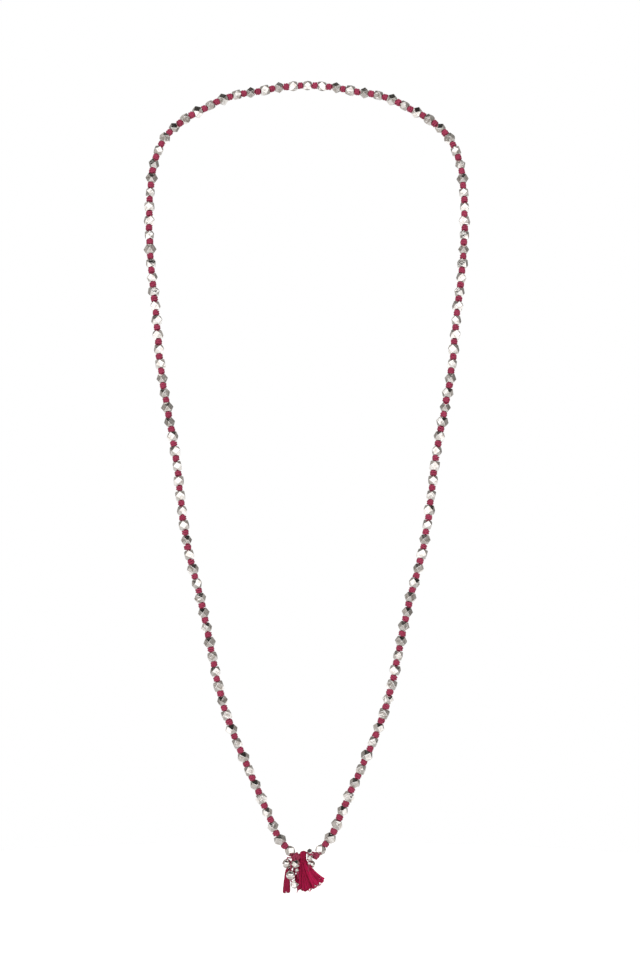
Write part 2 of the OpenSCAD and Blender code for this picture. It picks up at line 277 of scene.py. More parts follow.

# %% [markdown]
# Dyed cotton looks deeper where the strands turn in and paler where loose fibres catch the light. Here
# that is painted shade and painted highlight: fine noise moves the colour between a deep and a bright
# end at random. Each strand also took the dye a little differently, so every one carries its own tone,
# stored on its points. Sheen on the shader gives the pale edge that fine fibres give. The knots, the
# wide tassel and the slim tassel are three shades of one dye.

# %% Thread
def thread_look(name, deep, bright, tone_share, fibre_scale, sheen):
    """Dyed cotton between two colours."""
    look = bpy.data.materials.new(name)
    shader = Shader(look)
    place = shader.node("ShaderNodeTexCoord", out="Object")
    tone = shader.node("ShaderNodeAttribute", {"attribute_name": "tone"}, {}, "Fac")
    # Fine fibre noise: painted shade and painted highlight in the colour, and the relief of the bump
    fibre_painted_light_and_relief = shader.noise(place, fibre_scale, 3.0)
    patch = shader.noise(place, 500.0, 2.0)
    amount = tone * tone_share + fibre_painted_light_and_relief * 0.35 + patch * 0.3 + (0.18 - 0.5 * tone_share)
    colour = shader.blend(amount, (*deep, 1), (*bright, 1))
    bump = shader.node("ShaderNodeBump", {}, {"Height": fibre_painted_light_and_relief, "Strength": 0.5, "Distance": 0.08 * MM})
    surface = shader.node("ShaderNodeBsdfPrincipled", {}, {
        "Base Color": colour, "Roughness": 0.75, "Sheen Weight": sheen, "Sheen Roughness": 0.4,
        "Sheen Tint": (1.0, 0.45, 0.6, 1), "Specular IOR Level": 0.2, "Normal": bump})
    shader.node("ShaderNodeOutputMaterial", {}, {"Surface": surface})
    return look


knot_cotton = thread_look("magenta_cotton", deep=(0.18, 0.013, 0.038), bright=(0.44, 0.060, 0.125),
                          tone_share=0.3, fibre_scale=5200.0, sheen=0.35)
tassel_cotton = thread_look("crimson_cotton", deep=(0.145, 0.0015, 0.013), bright=(0.56, 0.010, 0.092),
                            tone_share=0.72, fibre_scale=6500.0, sheen=0.16)
slim_cotton = thread_look("wine_cotton", deep=(0.11, 0.003, 0.013), bright=(0.43, 0.016, 0.078),
                          tone_share=0.72, fibre_scale=6500.0, sheen=0.16)
print("thread finishes:", knot_cotton.name, tassel_cotton.name, slim_cotton.name)

# %% [markdown]
# The measured model holds each side's beads in one mesh. To place a detailed bead over each plain one,
# its points are joined where they coincide, and a label is passed along the triangles until every
# loose part has its own. The volume's centre is the bead's place.

# %% Loose parts of a node
def loose_parts(name):
    """Each loose solid of a node as its corner points, three for each triangle."""
    mesh = nodes[name].data
    mesh.calc_loop_triangles()
    points = np.empty(len(mesh.vertices) * 3)
    mesh.vertices.foreach_get("co", points)
    corners = np.empty(len(mesh.loop_triangles) * 3, int)
    mesh.loop_triangles.foreach_get("vertices", corners)
    joined, index = np.unique(points.reshape(-1, 3).round(7), axis=0, return_inverse=True)
    triangles = index.reshape(-1)[corners].reshape(-1, 3)
    label = np.arange(len(joined))
    while True:
        lowest = label[triangles].min(1)
        before = label.copy()
        for column in range(3):
            np.minimum.at(label, triangles[:, column], lowest)
        if (label == before).all():
            break
    owner = label[triangles[:, 0]]
    return [joined[triangles[owner == part]] for part in np.unique(owner)]


def faces_of(corners):
    """The area vector of each triangle, and its length."""
    vector = np.cross(corners[:, 1] - corners[:, 0], corners[:, 2] - corners[:, 0]) / 2
    return vector, np.linalg.norm(vector, axis=1)


def centre_of(corners):
    weight = np.einsum("ij,ij->i", corners[:, 0], faces_of(corners)[0])
    return (corners.mean(1) * 0.75 * weight[:, None]).sum(0) / weight.sum()


# %% [markdown]
# A bead's hole is found by its wall, as that is the only surface that faces the centre. A nugget is a
# cube with its corners cut off, drilled from face to face, so one of the four faces round the hole,
# its largest flats, tells how it is turned.

# %% Places of beads
@dataclass
class Place:
    """Where a drilled bead is. Its hole runs along the last of its axes."""
    centre: np.ndarray
    axes: np.ndarray
    size: float
    half: float
    hole: float


def unit(vector):
    return vector / np.linalg.norm(vector)


def place_of(corners, towards, round_bead=False):
    """The place of a plain bead. Its size is a ball's radius or the edge of a nugget's cube."""
    centre = centre_of(corners)
    points = corners.reshape(-1, 3) - centre
    vector, area = faces_of(corners)
    wall = vector[np.einsum("ij,ij->i", corners.mean(1) - centre, vector) < 0]
    hole = np.linalg.eigh(wall.T @ wall)[1][:, 0]
    hole = hole if hole @ towards > 0 else -hole
    if round_bead:
        side, size = np.array([0.0, 1.0, 0.0]), np.linalg.norm(points, axis=1).max()
    else:
        normal = (vector / np.maximum(area, 1e-15)[:, None]).round(2)
        flat, group = np.unique(normal, axis=0, return_inverse=True)
        flat_area = np.bincount(group.reshape(-1), area)
        side = flat[np.where(np.abs(flat @ hole) < 0.3, flat_area, 0).argmax()]
        size = 2 * (points @ unit(side)).max()
    side = unit(side - (side @ hole) * hole)
    axes = np.column_stack([side, np.cross(hole, side), hole])
    bore = np.linalg.norm(np.cross(points, hole), axis=1).min()
    return Place(centre, axes, size, (points @ hole).max(), bore)


def string_places(name):
    """The nuggets of one side of the string, from the nape down."""
    def fall(corners):
        centre = centre_of(corners)
        return 0.3 * abs(centre[0]) - centre[2]

    parts = sorted(loose_parts(name), key=fall)
    centres = np.array([centre_of(corners) for corners in parts])
    ahead_of = np.vstack([np.diff(centres, axis=0), centres[-1:] - centres[-2:-1]])
    return [place_of(corners, way) for corners, way in zip(parts, ahead_of)]


DOWN = np.array([0.3, 0.0, -1.0])
strings = {side: string_places("beads_" + side) for side in ("left", "right")}
nape_place = place_of(loose_parts("bead_nape")[0], np.array([1.0, 0, 0]))
small_nuggets = {name: place_of(loose_parts(name)[0], DOWN)
                 for name in sorted(nodes) if name.startswith("nugget_")}
balls = {name: place_of(loose_parts(name)[0], DOWN, round_bead=True)
         for name in sorted(nodes) if name.startswith(("ball_", "pip_"))}
drop_beads = {**small_nuggets, **balls}
print("beads:", {side: len(places) for side, places in strings.items()}, "cubes in mm:",
      sorted({round(place.size / MM, 2) for places in strings.values() for place in places}))

# %% [markdown]
# Meshes are gathered as plain arrays and turned into one object at the end, which is far quicker than
# joining objects. Each array set is the points, the triangles, a smooth flag for each triangle and a
# tone for each point.

# %% Gathering meshes
class Gathered:
    """Points and triangles of many small shapes on their way to one mesh."""

    def __init__(self):
        self.points, self.triangles, self.smooth, self.tones, self.count = [], [], [], [], 0

    def add(self, points, triangles, smooth=True, tone=0.5):
        self.points.append(points)
        self.triangles.append(triangles + self.count)
        self.smooth.append(np.broadcast_to(smooth, len(triangles)))
        self.tones.append(np.full(len(points), tone))
        self.count += len(points)

    def piece(self, name, look, slot, *replaced):
        points = np.vstack(self.points)
        triangles = np.vstack(self.triangles)
        mesh = bpy.data.meshes.new(name)
        mesh.from_pydata(points.tolist(), [], triangles.tolist())
        mesh.polygons.foreach_set("use_smooth", np.concatenate(self.smooth))
        tone = mesh.attributes.new("tone", "FLOAT", "POINT")
        tone.data.foreach_set("value", np.concatenate(self.tones).astype(np.float32))
        mesh.materials.append(look)
        made = bpy.data.objects.new(name, mesh)
        bpy.context.scene.collection.objects.link(made)
        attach(made, "root")
        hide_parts(*replaced)
        print(name, "has", len(triangles), "triangles")


# %% [markdown]
# The holes and the round balls are turned shapes, as from a lathe: an outline of radius and height
# that goes round the Z axis. A turned ring closes on itself, and a turned solid gets a point on the
# axis at each end.

# %% Turned shapes
def grid_faces(rows, columns, close_rows, close_columns):
    """Triangles over a grid of points."""
    i, j = np.meshgrid(np.arange(rows if close_rows else rows - 1),
                       np.arange(columns if close_columns else columns - 1), indexing="ij")
    a = (i * columns + j).ravel()
    b = (i * columns + (j + 1) % columns).ravel()
    c = ((i + 1) % rows * columns + (j + 1) % columns).ravel()
    d = ((i + 1) % rows * columns + j).ravel()
    return np.concatenate([np.stack([a, d, c], 1), np.stack([a, c, b], 1)])


def turned(outline, sides):
    """The points of an outline of (radius, height) as it goes round Z."""
    angle = 2 * np.pi * np.arange(sides) / sides
    radius, level = np.array(outline, float).T
    return np.stack([np.outer(np.cos(angle), radius), np.outer(np.sin(angle), radius),
                     np.broadcast_to(level, (sides, len(level)))], -1).reshape(-1, 3)


def turned_ring(outline, sides):
    """Points and triangles of a closed outline turned round Z."""
    return turned(outline, sides), grid_faces(sides, len(outline), close_rows=True, close_columns=True)


def turned_solid(outline, sides):
    """Points and triangles of an open outline turned round Z, with both ends closed."""
    points = turned(outline, sides)
    walls = grid_faces(sides, len(outline), close_rows=True, close_columns=False)
    tips = np.array([[0, 0, outline[0][1]], [0, 0, outline[-1][1]]])
    ring = np.arange(sides) * len(outline)
    following = np.roll(ring, -1)
    top = len(outline) - 1
    low = np.stack([np.full(sides, len(points)), following, ring], 1)
    high = np.stack([np.full(sides, len(points) + 1), ring + top, following + top], 1)
    return np.vstack([points, tips]), np.vstack([walls, low, high])


# %% [markdown]
# A nugget's hole opens with a soft flared rim. The cutter that drills it is a little longer than the
# nugget and widens at both ends.

# %% Cutter for the holes
RIM_FLARE = 1.28
DRILL_SIDES = 28


def plain_object(name, points, triangles):
    mesh = bpy.data.meshes.new(name)
    mesh.from_pydata(points.tolist(), [], triangles.tolist())
    made = bpy.data.objects.new(name, mesh)
    bpy.context.scene.collection.objects.link(made)
    return made


def drill(hole, half):
    """A cutter for a hole with a flared rim: the hole's radius and half the nugget's length."""
    lip = 0.09 * half
    upper = [(hole, half - 3.5 * lip), (hole * 1.06, half - 1.6 * lip),
             (hole * RIM_FLARE, half - 0.3 * lip), (hole * 1.9, half + lip), (hole * 1.9, 1.5 * half)]
    lower = [(radius, -level) for radius, level in reversed(upper)]
    return plain_object("drill", *turned_solid(lower + upper, DRILL_SIDES))


# %% [markdown]
# A nugget is what fourteen cuts leave of a lump: six make the cube and eight take off its corners. No
# two nuggets are alike, so every cut strays a little in slope and depth. The solid is the hull of
# small round balls placed at its inner corners, which leaves every edge softly tumbled. As that takes
# a little off its width, it is made a little fuller across the thread.

# %% Shape of a nugget
EDGE_ROUND = 0.06
CUT_DEPTH = 0.55
DEPTH_STRAY = 0.035
SLOPE_STRAY = 0.03
FLAT_AREA = 0.02


def nugget_cuts(half):
    """The cuts that make a nugget for a cube edge of 1: directions, and how far out each one lies."""
    normals, reach = [], []
    for way in (1, -1):
        for side in ((way, 0, 0), (0, way, 0)):
            normals.append(unit(np.array(side) + rng.normal(0, SLOPE_STRAY, 3)))
            reach.append(0.5 + rng.uniform(-0.012, 0.004))
        normals.append(np.array([0, 0, way]))
        reach.append(half)
    for signs in itertools.product((1, -1), repeat=3):
        normals.append(unit(np.array(signs) + rng.normal(0, 2 * SLOPE_STRAY, 3)))
        reach.append((1.5 - CUT_DEPTH + rng.normal(0, DEPTH_STRAY)) / math.sqrt(3))
    return np.array(normals), np.array(reach)


def corners_between(normals, reach):
    """The points where three cuts meet and that no other cut takes away."""
    meeting = []
    for trio in itertools.combinations(range(len(normals)), 3):
        planes = normals[list(trio)]
        if abs(np.linalg.det(planes)) > 0.05:
            corner = np.linalg.solve(planes, reach[list(trio)])
            if (normals @ corner < reach + 1e-6).all():
                meeting.append(corner)
    return meeting


def nugget_shape(hole, half):
    """A nugget for a cube edge of 1, with a hole along Z: points, triangles and smooth flags."""
    normals, reach = nugget_cuts(half)
    shape = bmesh.new()
    for corner in corners_between(normals, reach - EDGE_ROUND):
        bmesh.ops.create_icosphere(shape, subdivisions=2, radius=EDGE_ROUND,
                                   matrix=Matrix.Translation(corner))
    hull = bmesh.ops.convex_hull(shape, input=shape.verts)
    bmesh.ops.delete(shape, geom=hull["geom_interior"] + hull["geom_unused"], context="VERTS")
    bmesh.ops.dissolve_limit(shape, angle_limit=math.radians(0.6), verts=shape.verts, edges=shape.edges)
    blank_mesh = bpy.data.meshes.new("blank")
    shape.to_mesh(blank_mesh)
    shape.free()
    blank = bpy.data.objects.new("blank", blank_mesh)
    bpy.context.scene.collection.objects.link(blank)
    cutter = drill(hole, half)
    cut = blank.modifiers.new("hole", "BOOLEAN")
    cut.object = cutter
    cut.solver = "EXACT"
    finished = blank.evaluated_get(bpy.context.evaluated_depsgraph_get()).to_mesh()
    finished.calc_loop_triangles()
    points = np.array([v.co for v in finished.vertices])
    triangles = np.array([t.vertices for t in finished.loop_triangles])
    face_area = np.array([finished.polygons[t.polygon_index].area for t in finished.loop_triangles])
    for made in (blank, cutter):
        bpy.data.objects.remove(made)
    return points, triangles, face_area < FLAT_AREA


# %% [markdown]
# The string's nuggets come in a few sizes. For each size five shapes are cut, and every bead takes one
# of them. The facets stay flat and only the rounded edges are shaded smooth.

# %% Nuggets of the string
NUGGET_VARIANTS = 5
FULLNESS = np.array([1.04, 1.04, 1.0])
nugget_shapes = {}


def add_nugget(gathered, place, variants=NUGGET_VARIANTS):
    """Adds one of the shapes made for nuggets of this size, and makes them the first time."""
    key = round(place.size, 5), round(place.half, 5)
    if key not in nugget_shapes:
        nugget_shapes[key] = [nugget_shape(place.hole / place.size, place.half / place.size)
                              for _ in range(variants)]
    points, triangles, smooth = nugget_shapes[key][rng.integers(variants)]
    gathered.add(place.centre + place.size * (points * FULLNESS) @ place.axes.T, triangles, smooth)


for side, places in strings.items():
    string_mesh = Gathered()
    for place in places:
        add_nugget(string_mesh, place)
    string_mesh.piece("nuggets_" + side, nugget_silver, "silver_plate", "beads_" + side)
nape_mesh = Gathered()
add_nugget(nape_mesh, nape_place)
nape_mesh.piece("nugget_nape", nugget_silver, "silver_plate", "bead_nape")

# %% [markdown]
# The five smaller nuggets of the drops are cut the same way. Their holes are wide for their size, so
# each gets a shape of its own.

# %% Small nuggets
for name, place in small_nuggets.items():
    small_mesh = Gathered()
    add_nugget(small_mesh, place, 1)
    small_mesh.piece("cut_" + name, nugget_silver, "silver_plate", name)

# %% [markdown]
# The round balls are turned shapes. Where the hole breaks through, the wall rolls in over a small
# radius, so the rim catches a line of light instead of ending in a knife edge.

# %% Balls
BALL_SIDES = 72
BALL_RINGS = 40


def ball_shape(radius, hole):
    """A drilled ball with rolled rims, round Z."""
    rim = 0.16 * hole
    top = math.acos(min((hole + rim) / radius, 0.99))
    outside = [(radius * math.cos(t), radius * math.sin(t)) for t in np.linspace(-top, top, BALL_RINGS)]
    roll = [(hole + rim - rim * math.sin(t), outside[-1][1] - rim * (1 - math.cos(t)))
            for t in np.radians([22, 45, 68, 90])]
    inside = [(x, -z) for x, z in reversed(roll)]
    return turned_ring(outside + roll + inside, BALL_SIDES)


for name, place in balls.items():
    points, triangles = ball_shape(place.size, place.hole)
    ball_mesh = Gathered()
    ball_mesh.add(place.centre + points @ place.axes.T, triangles)
    ball_mesh.piece("turned_" + name, ball_silver, "silver_plate", name)

# %% [markdown]
# Thread is a tube swept along a line. Cotton cord is twisted from plies, so the tube's section has a
# lobe for each ply and turns as it goes, which shows as the rope pattern of real cord.

# %% Sweeping a strand
def smooth_line(points, steps):
    """A curve through the points, with steps stretches between each two."""
    points = np.array(points, float)
    padded = np.vstack([2 * points[0] - points[1], points, 2 * points[-1] - points[-2]])
    share = (np.arange(steps) / steps)[:, None]
    parts = []
    for a, b, c, d in zip(padded, padded[1:], padded[2:], padded[3:]):
        parts.append(0.5 * (2 * b + (c - a) * share + (2 * a - 5 * b + 4 * c - d) * share ** 2
                            + (3 * b - 3 * c + d - a) * share ** 3))
    return np.vstack(parts + [points[-1:]])


def sweep(line, radius, sides, plies=0, ply_depth=0.0, pitch=1.0):
    """Points and triangles of a strand along a line. radius may be one number or one for each point."""
    aim = np.gradient(line, axis=0)
    aim /= np.linalg.norm(aim, axis=1)[:, None]
    side = np.empty_like(line)
    carried = unit(np.cross(aim[0], [0.31, 0.87, 0.38]))
    for i, way in enumerate(aim):
        carried = unit(carried - (carried @ way) * way)
        side[i] = carried
    other = np.cross(aim, side)
    travelled = np.concatenate([[0], np.cumsum(np.linalg.norm(np.diff(line, axis=0), axis=1))])
    angle = 2 * np.pi * np.arange(sides) / sides
    twist = 2 * np.pi * travelled / pitch
    lobed = 1 + ply_depth * np.cos(plies * (angle[None] - twist[:, None])) if plies else 1.0
    reach = np.broadcast_to(radius, len(line))[:, None] * lobed * np.ones((len(line), sides))
    rings = line[:, None] + reach[..., None] * (
        np.cos(angle)[None, :, None] * side[:, None] + np.sin(angle)[None, :, None] * other[:, None])
    walls = grid_faces(len(line), sides, close_rows=False, close_columns=True)
    tip = len(line) * sides
    first = np.arange(sides)
    last = first + (len(line) - 1) * sides
    caps = np.vstack([np.stack([np.full(sides, tip), first, np.roll(first, -1)], 1),
                      np.stack([np.full(sides, tip + 1), np.roll(last, -1), last], 1)])
    points = np.vstack([rings.reshape(-1, 3), line[:1], line[-1:]])
    return points, np.vstack([walls[:, ::-1], caps[:, ::-1]])


# %% [markdown]
# Between each two beads the cord is knotted on itself, which keeps the beads apart. Pulled tight, such
# a knot is a short fat barrel that fills the space: the cord comes down the middle, winds three times
# round itself, and one turn crosses the others at a slant. A few knots of this form, each with its own
# slant, stand for them all.

# %% Shape of a knot
KNOT_SIDES = 10
PLY = {"plies": 3, "ply_depth": 0.06, "pitch": 1.9}


def soft_bump(value, centre, width):
    """1 at centre, and 0 from width away, for angles."""
    away = np.abs((value - centre + np.pi) % (2 * np.pi) - np.pi)
    return 0.5 + 0.5 * np.cos(np.pi * np.clip(away / width, 0, 1))


def knot_shape(turns, radius, half, strand):
    """One tight knot round Z, in millimetres. Radius and half are those of the strand's middle."""
    start, cross_from = rng.uniform(0, 2 * np.pi, 2)
    slant = rng.uniform(0.9, 1.6)
    share = np.linspace(0, 1, int(20 * turns))
    angle = start + 2 * np.pi * turns * share
    level = half * np.cos(np.pi * np.clip((share - 0.08) / 0.84, 0, 1)) + 0.05 * np.sin(angle * 1.3)
    crossed = cross_from + slant * (0.5 - 0.5 * level / half)
    opening = np.clip(np.minimum(share, 1 - share) / 0.07, 0, 1) ** 0.6
    pressed = 1 - 0.28 * soft_bump(angle, crossed, 0.8)
    reach = radius * opening * pressed * (1 - 0.1 * (level / half) ** 2)
    coil = np.stack([reach * np.cos(angle), reach * np.sin(angle), level], 1)
    stub = np.array([[0, 0, half + strand + 0.35], [0, 0, half + strand]])
    body = sweep(np.vstack([stub, coil, stub[::-1] * [1, 1, -1]]), strand, KNOT_SIDES, **PLY)
    share = np.linspace(-0.12, 1.12, 15)
    angle = cross_from + slant * share
    reach = radius * 1.04 - 0.5 * np.clip(np.abs(share - 0.5) - 0.45, 0, 1)
    over = np.stack([reach * np.cos(angle), reach * np.sin(angle), 1.02 * half * (1 - 2 * share)], 1)
    return body, sweep(over, strand * 0.94, KNOT_SIDES, **PLY)


def mirrored(part):
    """The same part tied the other way round."""
    points, triangles = part
    return points * [-1, 1, 1], triangles[:, ::-1]


# %% [markdown]
# A knot is set along the thread and stretched to fill its space. Half of the knots are tied the other
# way round, and each is turned by chance, so that no two neighbours look the same.

# %% Tying the knots
KNOT_VARIANTS = 8
KNOT_HALF = 1.54 * MM


def axes_along(way, roll):
    """Axes whose last points along way, turned by roll."""
    way = unit(way)
    side = unit(np.cross(way, [0.2, 1.0, 0.1]))
    other = np.cross(way, side)
    rolled = math.cos(roll) * side + math.sin(roll) * other
    return np.column_stack([rolled, np.cross(way, rolled), way])


def add_knot(gathered, centre, way, half, width=1.0, parts=None):
    """Adds a knot that is half long on each side of centre, in metres."""
    parts = parts or knot_shapes[rng.integers(len(knot_shapes))]
    axes = axes_along(way, rng.uniform(0, 2 * np.pi))
    scale = np.array([width, width, half / KNOT_HALF]) * MM
    tone = rng.uniform(0.2, 0.8)
    for points, triangles in parts:
        gathered.add(centre + (points * scale) @ axes.T, triangles, tone=tone)


knot_shapes = []
for variant in range(KNOT_VARIANTS):
    shape = knot_shape(rng.uniform(2.7, 3.1), radius=1.26, half=0.94, strand=0.58)
    knot_shapes.append([mirrored(part) for part in shape] if variant % 2 else shape)
print("knot shapes:", len(knot_shapes))

# %% [markdown]
# On each side of the string the knots fill the spaces between the beads, and a straight length of cord
# runs on through each hole. The spaces are measured from the beads on both sides of them.

# %% String threads
CORD_R = 0.5 * MM
CORD_SIDES = 10
KNOT_SLACK = 0.04 * MM
NEAR_KNOT = 1.95 * MM


def add_cord(gathered, start, end):
    gathered.add(*sweep(np.linspace(start, end, 5), CORD_R, CORD_SIDES))


end_knots = {}
for side, places in strings.items():
    cord_mesh = Gathered()
    chain = [nape_place] + places
    barrel = np.unique(np.vstack(loose_parts("thread_" + side)).reshape(-1, 3), axis=0)
    knot_centres = []
    for above, below in zip(chain, chain[1:]):
        way = below.centre - above.centre
        middle = (below.centre + above.centre) / 2
        centre = barrel[np.linalg.norm(barrel - middle, axis=1) < NEAR_KNOT].mean(0)
        half = (np.linalg.norm(way) - above.half - below.half) / 2 - KNOT_SLACK
        add_knot(cord_mesh, centre, way, half, rng.uniform(0.95, 1.06))
        knot_centres.append(centre)
    last = places[-1]
    end_knots[side] = 2 * last.centre - knot_centres[-1]
    stops = knot_centres + [end_knots[side]]
    for start, end in zip(stops, stops[1:]):
        way = unit(end - start) * KNOT_HALF
        add_cord(cord_mesh, start + way, end - way)
    nape_way = unit(knot_centres[0] - nape_place.centre)
    nape_start = nape_place.centre + 0.05 * MM * nape_way
    add_cord(cord_mesh, nape_start, knot_centres[0] - KNOT_HALF * nape_way)
    cord_mesh.piece("cord_" + side, knot_cotton, "knot_thread", "thread_" + side)

# %% [markdown]
# At the foot a cord runs across between the two end knots, and five thinner ones carry the drops. Each
# of these is a short curve: from the end knot to the first bead by a few listed points, and
# then straight through the beads.

# %% Routes of the drop threads
def beads_through(*names):
    """Points that lead a thread straight through the beads of these names."""
    points = []
    for name in names:
        place = drop_beads[name]
        reach = 0.9 * place.half * place.axes[:, 2]
        points += [place.centre - reach, place.centre + reach]
    return points


def by_hand(*points):
    return [np.array(point) * MM for point in points]


SIDE_TOP = np.array([-8.45, -54.8, -401.7])
left = end_knots["left"]
right = end_knots["right"]
drop_routes = {
    "ball_upper": [
        left, *by_hand((-6.3, -54.6, -395.35), (-7.6, -54.8, -395.3), (-8.4, -54.8, -395.3),
                       (-8.7, -54.8, -395.9)),
        *beads_through("ball_upper"), SIDE_TOP * MM],
    "nugget_low_left": [
        left, *by_hand((-5.9, -56.2, -395.9), (-6.6, -57.6, -398), (-6.65, -58.4, -400.1),
                       (-6.65, -58.6, -401.4)),
        *beads_through("ball_lower"), *by_hand((-6.6, -58.95, -405.9), (-6.17, -59.6, -406.13)),
        *beads_through("nugget_low_left")],
    "pip_left": [
        left, *by_hand((-4.9, -57, -394.4), (-4.95, -58.3, -394.9), (-4.75, -58.75, -395.8)),
        *beads_through("nugget_left", "pip_left")],
    "pip_right": [
        right, *by_hand((5.2, -56.9, -393.9), (4.3, -58, -393.2), (3.35, -58.3, -392.6),
                        (2.88, -58.3, -393.1)),
        *beads_through("nugget_right", "pip_right")],
    "nugget_low_right": [
        right, *by_hand((5.4, -53.6, -394.7), (4.5, -52.3, -395.4), (3.7, -51.9, -396),
                        (3.4, -51.8, -396.9)),
        *beads_through("ball_right", "nugget_low_right")],
}
across_route = [left, *by_hand((-2.6, -55, -393.7), (-0.6, -55, -393.25), (0.9, -55, -392.73)),
                *beads_through("nugget_cross"), *by_hand((4.75, -55, -392.8)), right]
print("routes:", {name: len(route) for name, route in drop_routes.items()})

# %% [markdown]
# Under its last bead each drop thread ends in a small stop knot with two short tails. The one through
# the upper ball has none, as the slim tassel hangs there.

# %% Threads of the drops
THIN_R = 0.34 * MM
THIN_PLY = {"plies": 2, "ply_depth": 0.13}
STOP_KNOT_HALF = 0.5 * MM
STOP_KNOT_WIDTH = 0.36
TAIL_R = 0.2 * MM


def add_tail(gathered, start):
    """A short tail that hangs from a stop knot."""
    fall = rng.uniform(1.8, 3.4)
    aside = rng.uniform(-0.7, 0.7, 2)
    line = start + MM * np.array([[0, 0, 0], [*(0.3 * aside), -0.35 * fall], [*aside, -fall]])
    gathered.add(*sweep(smooth_line(line, 6), TAIL_R, 6, **THIN_PLY, pitch=1.1 * MM), tone=0.4)


drop_mesh = Gathered()
for last_bead, route in drop_routes.items():
    if last_bead != "ball_upper":
        way = unit(route[-1] - route[-2])
        end = drop_beads[last_bead]
        knot_at = end.centre + (end.half + 0.55 * MM) * way
        add_knot(drop_mesh, knot_at, way, STOP_KNOT_HALF, STOP_KNOT_WIDTH)
        route.append(knot_at)
        for _ in range(2):
            add_tail(drop_mesh, knot_at)
    tube = sweep(smooth_line(route, 9), THIN_R, 10, **THIN_PLY, pitch=1.7 * MM)
    drop_mesh.add(*tube, tone=rng.uniform(0.3, 0.7))
tube = sweep(smooth_line(across_route, 9), CORD_R, 12, plies=3, ply_depth=0.09, pitch=1.9 * MM)
drop_mesh.add(*tube)
print("drop threads:", len(drop_routes), "and one across")

# %% [markdown]
# The two ends of the string are tied off, the left one with a fat knot. Under it hangs a tangle of
# loose ends in the darkest tone, painted shade that fills the gaps between the silver drops. A few of
# them pass behind the upper ball.

# %% End knots and loose ends of painted shade
# Loose ends whose dark tone is painted shade in the gaps between the silver drops
PAINTED_SHADE_ENDS = 26
PAINTED_SHADE_END_R = 0.28 * MM


def wavy(points, size):
    """Strays the middle of a line of points a little."""
    share = np.linspace(0, 1, len(points))[:, None]
    drift = sum(rng.normal(0, size / waves, 3) * np.sin(np.pi * waves * share + rng.uniform(0, 6))
                for waves in (1, 2, 4))
    return points + drift * np.sin(np.pi * share * 0.5)


add_knot(drop_mesh, right, right - strings["right"][-1].centre, KNOT_HALF)
fat_way = unit(left - strings["left"][-1].centre)
fat_shape = knot_shape(turns=3.3, radius=1.72, half=1.2, strand=0.68)
add_knot(drop_mesh, left + 0.45 * MM * fat_way, fat_way, KNOT_HALF, parts=fat_shape)
for number in range(PAINTED_SHADE_ENDS):
    foot = rng.uniform((-6.8, -56.4, -403.6), (-2.7, -54.2, -400.0))
    loose = wavy(np.linspace(left / MM, foot, 8), 0.25)
    if number % 4 == 0:
        # Every fourth one passes behind the upper ball instead
        foot = rng.uniform((-8.2, -52.9, -402.2), (-7.2, -52.4, -401.0))
        loose = wavy(np.linspace(left / MM, foot, 8), 0.1)
    tube = sweep(smooth_line(loose * MM, 3), PAINTED_SHADE_END_R, 7, **THIN_PLY, pitch=1.1 * MM)
    # The low tone is painted shade: it makes these ends darker than any other thread
    drop_mesh.add(*tube, tone=rng.uniform(-0.8, -0.1))
drop_mesh.piece("drop_cords", knot_cotton, "knot_thread", "drop_threads")

# %% [markdown]
# A tassel is a skein of thread laid over the cord, doubled down and bound below the fold. Its feet
# weren't cut, so the threads turn back in small loops. Here each thread is a hairpin: down from the
# binding along one line of the skirt, round a loop and up along another. Its line is worked out in
# millimetres, and turned into metres as the thread is made.

# %% Yarn of the tassels
YARN_R = 0.22
YARN_SIDES = 7
YARN_PLY = {"plies": 2, "ply_depth": 0.12, "pitch": 1.1 * MM}


def hairpin(point_of, first, second, loop, stray):
    """A thread down one line, round a loop and up another, in millimetres."""
    shares = np.linspace(0.0, 1.0, 13)
    down = wavy(np.array([point_of(*first, s) for s in shares]), stray)
    up = wavy(np.array([point_of(*second, s) for s in shares]), stray)[::-1]
    way = unit(down[-1] - down[-3])
    span = up[0] - down[-1]
    bend = [down[-1] + span * u + way * loop * math.sin(math.pi * u) for u in (0.15, 0.5, 0.85)]
    return np.vstack([down, bend, up])


def add_yarn(gathered, line, tone, radius=YARN_R):
    tube = sweep(smooth_line(line, 2) * MM, radius * MM, YARN_SIDES, **YARN_PLY)
    gathered.add(*tube, tone=tone)


def bound_round(middle, half_width, half_depth, turns, drop, steps):
    """A few turns of thread round a tassel, which sink by drop."""
    turn = np.linspace(0, 2 * np.pi * turns, steps)
    return middle + np.stack([half_width * np.cos(turn), half_depth * np.sin(turn),
                              -drop * np.linspace(0, 1, steps)], 1)


# %% [markdown]
# The skirt of the main tassel fans out to the right, and its lines start side by side at the binding.
# Its length changes a little over the fan, as it does in the photograph.

# %% Fan of the main tassel
SKIRT_TOP = np.array([-0.7, -55.2, -396.5])
FAN_FROM = math.radians(-11)
FAN_TO = math.radians(47)
WAIST_HALF = 1.6


def fan_point(angle, depth, reach, share):
    """A point of the main skirt, from the binding (share 0) to the foot (share 1)."""
    spread = (angle - FAN_FROM) / (FAN_TO - FAN_FROM) - 0.5
    return SKIRT_TOP + np.array([
        2 * spread * (1 - share) * WAIST_HALF + reach * math.sin(angle) * share * (0.70 + 0.30 * share),
        depth * (0.6 + 0.4 * share),
        -reach * math.cos(angle) * share * (1.08 - 0.08 * share)])


def skirt_reach(angle):
    """Length of the skirt along a line of the fan."""
    return np.interp(math.degrees(angle), [-11, 3, 11, 20, 30, 38, 46],
                     [14.9, 15.6, 15.3, 14.8, 14.2, 14.3, 14.8])


print("skirt:", [round(float(skirt_reach(angle)), 1) for angle in (FAN_FROM, 0, FAN_TO)], "mm long")
